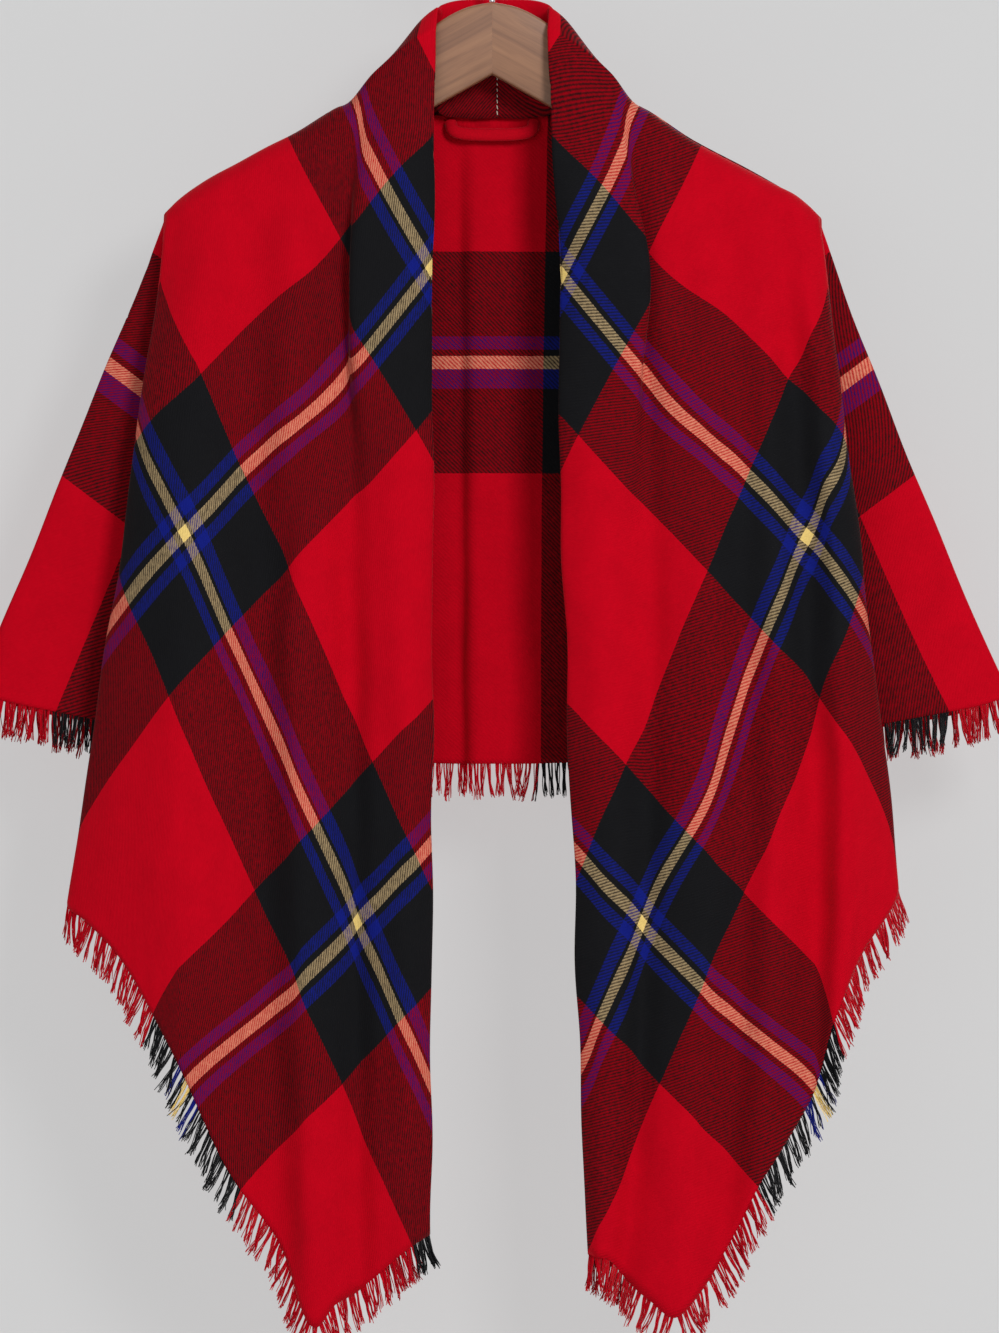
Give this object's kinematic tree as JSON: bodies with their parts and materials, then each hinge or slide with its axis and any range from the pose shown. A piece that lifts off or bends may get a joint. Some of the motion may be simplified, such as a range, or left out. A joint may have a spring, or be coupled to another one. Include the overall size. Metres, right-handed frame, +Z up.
{
  "type": "open-front cape wrap on a wooden hanger",
  "caption": "Open-front tartan cape wrap with a rolled shawl collar and pointed fringed fronts, hung on a wooden hanger that carries it by its steel hook.",
  "frame": {"origin": "top of the rail's seat inside the hanger's hook, where the hook bears on the rail", "axes": "+Z up along the hook, -Y towards the viewer of the open front, +X to that viewer's right"},
  "size_m": [0.7172, 0.1031, 0.9923],
  "materials": {
    "tartan_cloth": "brushed wool twill in a red, black, blue and yellow check",
    "fringe": "loose wool threads of the same cloth",
    "loop_cloth": "plain red wool tube",
    "hanger_wood": "satin walnut stain",
    "hook_steel": "polished steel wire"
  },
  "bodies": {
    "root": {"collar_left": "tartan_cloth", "collar_right": "tartan_cloth", "front_left": "tartan_cloth", "front_right": "tartan_cloth", "wing_left": "tartan_cloth", "wing_right": "tartan_cloth", "back": "tartan_cloth", "fringe_collar_left": "fringe", "fringe_collar_right": "fringe", "fringe_front_left": "fringe", "fringe_front_right": "fringe", "fringe_wing_left": "fringe", "fringe_wing_right": "fringe", "fringe_back": "fringe", "hanging_loop": "loop_cloth", "hanger_arm_left": "hanger_wood", "hanger_arm_right": "hanger_wood", "hanger_hook": "hook_steel"}
  },
  "joints": []
}
